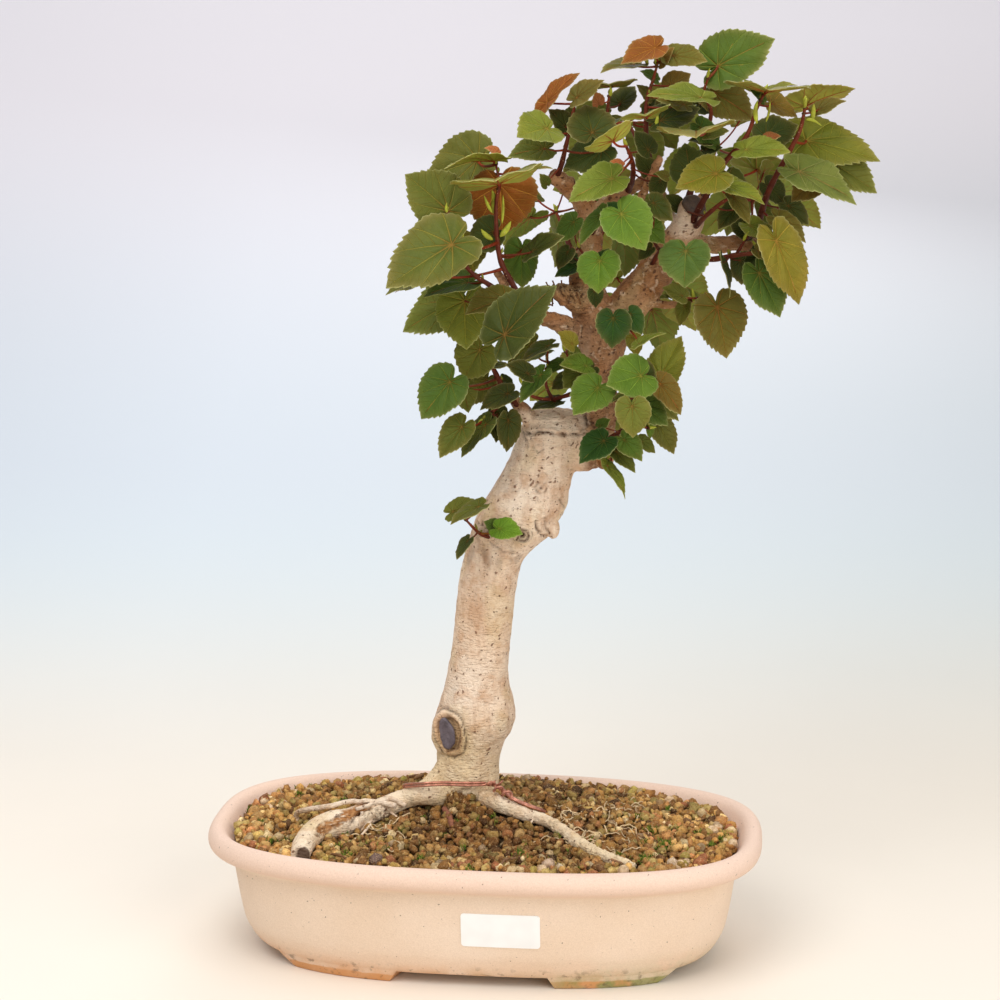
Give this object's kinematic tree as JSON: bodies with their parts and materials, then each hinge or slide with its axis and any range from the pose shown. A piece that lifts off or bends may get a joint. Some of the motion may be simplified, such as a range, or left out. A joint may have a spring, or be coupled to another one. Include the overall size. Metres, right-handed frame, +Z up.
{
  "type": "sea hibiscus bonsai",
  "caption": "Sea hibiscus bonsai with a leaning pale trunk, spread surface roots and heart-shaped leaves, in an oval unglazed pot.",
  "frame": {"origin": "on the ground under the feet, at the middle of the whole outline in X and Y", "axes": "+Z up, +X along the pot's length to the right seen from the front, front toward -Y"},
  "size_m": [0.353, 0.2274, 0.4913],
  "materials": {
    "unglazed_clay": "matt unglazed, peachy cream with fine dark specks",
    "clay_grains": "loose fired-clay grains, ochre to brown",
    "drain_net": "black woven plastic net",
    "bark": "smooth pale bark with brown pores and stains",
    "wound_paste": "dried grey sealing paste",
    "copper_wire": "dull copper-red",
    "label_paper": "smooth white",
    "leaf": "thin living leaf, waxy above and dull below",
    "shoot_stem": "young red-brown stem",
    "moss": "short green moss"
  },
  "bodies": {
    "root": {"pot": "unglazed_clay", "soil": "clay_grains", "drain_net_left": "drain_net", "drain_net_right": "drain_net", "trunk": "bark", "lower_wound_seal": "wound_paste", "top_cut_seal": "wound_paste", "tie_wire": "copper_wire", "paper_label": "label_paper", "shoot_left_tall": "leaf", "shoot_left_long": "leaf", "shoot_left_low": "leaf", "shoot_shoulder": "leaf", "shoot_fork_left": "leaf", "shoot_knob": "leaf", "shoot_top_left": "leaf", "shoot_top_inner": "leaf", "shoot_top_middle": "leaf", "shoot_top_front": "leaf", "shoot_top_right": "leaf", "shoot_right_high": "leaf", "shoot_right_far": "leaf", "shoot_right_mid": "leaf", "shoot_right_low": "leaf", "shoot_twig": "leaf", "shoot_arm_right": "leaf", "shoot_arm_left": "leaf", "shoot_arm_low": "leaf", "shoot_mid_right": "leaf", "shoot_crotch": "leaf", "shoot_fork_front": "leaf", "shoot_back_left": "leaf", "shoot_back_top": "leaf", "shoot_back_middle": "leaf", "shoot_back_right": "leaf", "shoot_back_far": "leaf", "shoot_back_low": "leaf", "shoot_back_shoulder": "leaf"}
  },
  "joints": []
}
